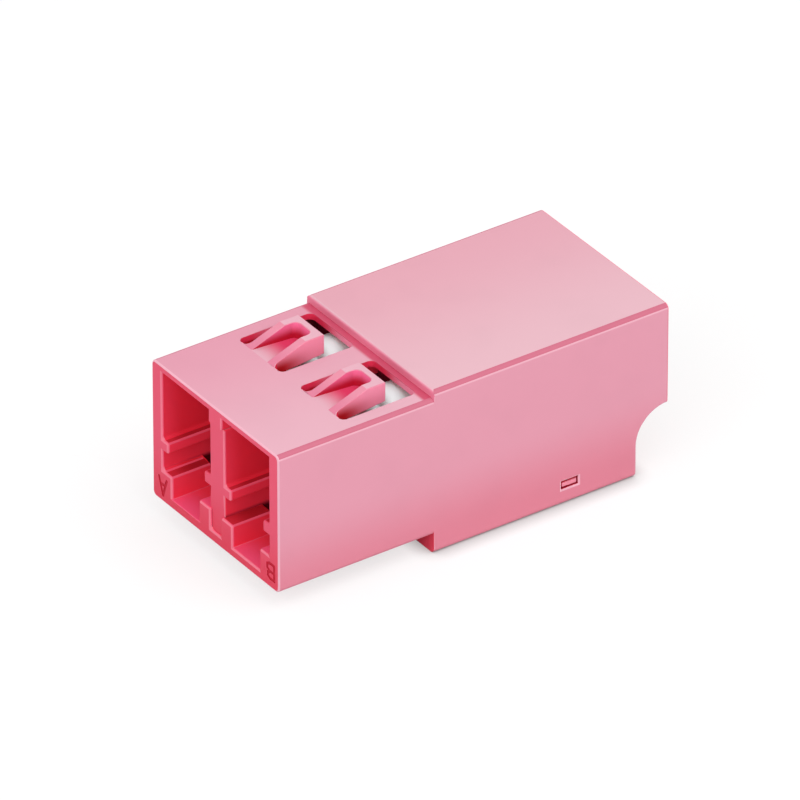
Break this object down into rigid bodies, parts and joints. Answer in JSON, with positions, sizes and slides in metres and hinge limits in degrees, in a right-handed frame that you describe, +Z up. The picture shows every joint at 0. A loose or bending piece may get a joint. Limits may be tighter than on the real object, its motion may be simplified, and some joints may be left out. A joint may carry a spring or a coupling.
{
  "type": "fibre optic adapter",
  "caption": "Duplex fibre adapter with side-by-side ports, spring latch tongues, a panel stop and a hooded rear end; it lines up connector ferrules in split sleeves.",
  "frame": {"origin": "middle of the adapter's outline at the base of the rear block", "axes": "+X across the ports, +Y from the front ports to the rear hood, +Z up, latch tongues on top"},
  "size_m": [0.013, 0.0276, 0.0115],
  "materials": {
    "pink_plastic": "satin moulded pink",
    "white_plastic": "satin moulded white",
    "zirconia": "polished"
  },
  "bodies": {
    "adapter": {"housing": "pink_plastic", "rear_insert": "pink_plastic", "sleeve_holder_front": "white_plastic", "sleeve_holder_rear": "white_plastic", "split_sleeve_left": "zirconia", "split_sleeve_right": "zirconia"},
    "left_tongue": {"latch_tongue_left": "pink_plastic"},
    "right_tongue": {"latch_tongue_right": "pink_plastic"}
  },
  "joints": [
    {"name": "left_tongue_press", "type": "hinge", "parent": "adapter", "child": "left_tongue", "pos_m": [-0.00313, -0.00855, 0.01043], "axis": [-1, 0, 0], "range_deg": [0, 13], "stiffness_Nm_per_rad": 0.1},
    {"name": "right_tongue_press", "type": "hinge", "parent": "adapter", "child": "right_tongue", "pos_m": [0.00313, -0.00855, 0.01043], "axis": [-1, 0, 0], "range_deg": [0, 13], "stiffness_Nm_per_rad": 0.1}
  ]
}
